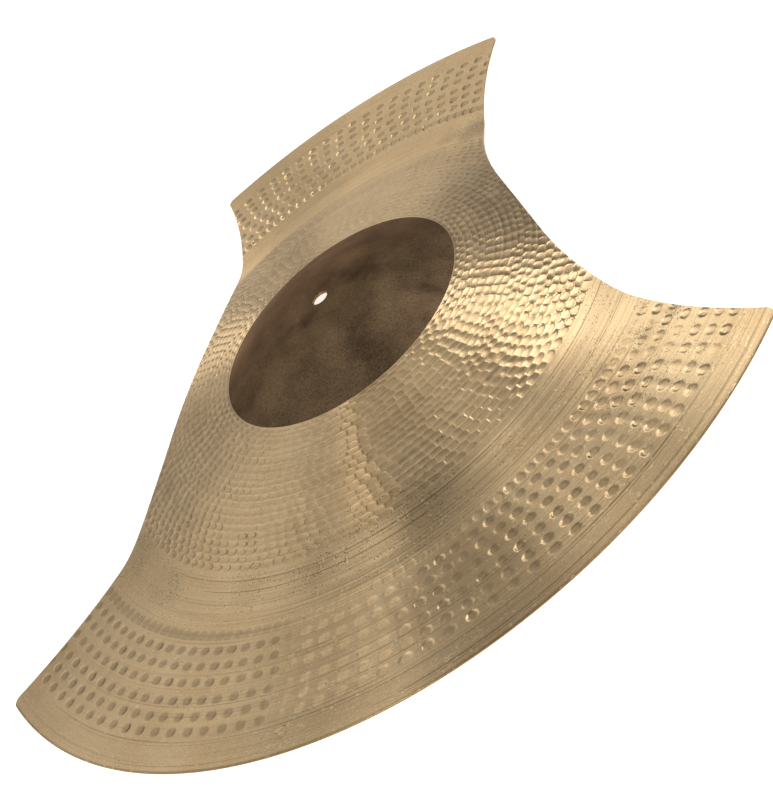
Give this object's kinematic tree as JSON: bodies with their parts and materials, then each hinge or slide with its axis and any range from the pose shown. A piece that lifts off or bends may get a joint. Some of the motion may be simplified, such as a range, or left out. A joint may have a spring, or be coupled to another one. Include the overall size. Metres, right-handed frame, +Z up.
{
  "type": "china cymbal",
  "caption": "Cut china cymbal: raised bell with a centre hole, hammered bow, shallow valley and peened flange, with two wide bites that leave a small and a large wing.",
  "frame": {"origin": "on the axis of the centre hole, at the plane that the underside of the valley ring rests on", "axes": "+Z up along the hole's axis, bell up; +Y towards the middle of the small wing; +X to the right of it"},
  "size_m": [0.4404, 0.5334, 0.0375],
  "materials": {
    "cymbal_plate": "hammered and lathed bronze, bell left dark and unlathed"
  },
  "bodies": {
    "root": {"cymbal_plate": "cymbal_plate"}
  },
  "joints": []
}
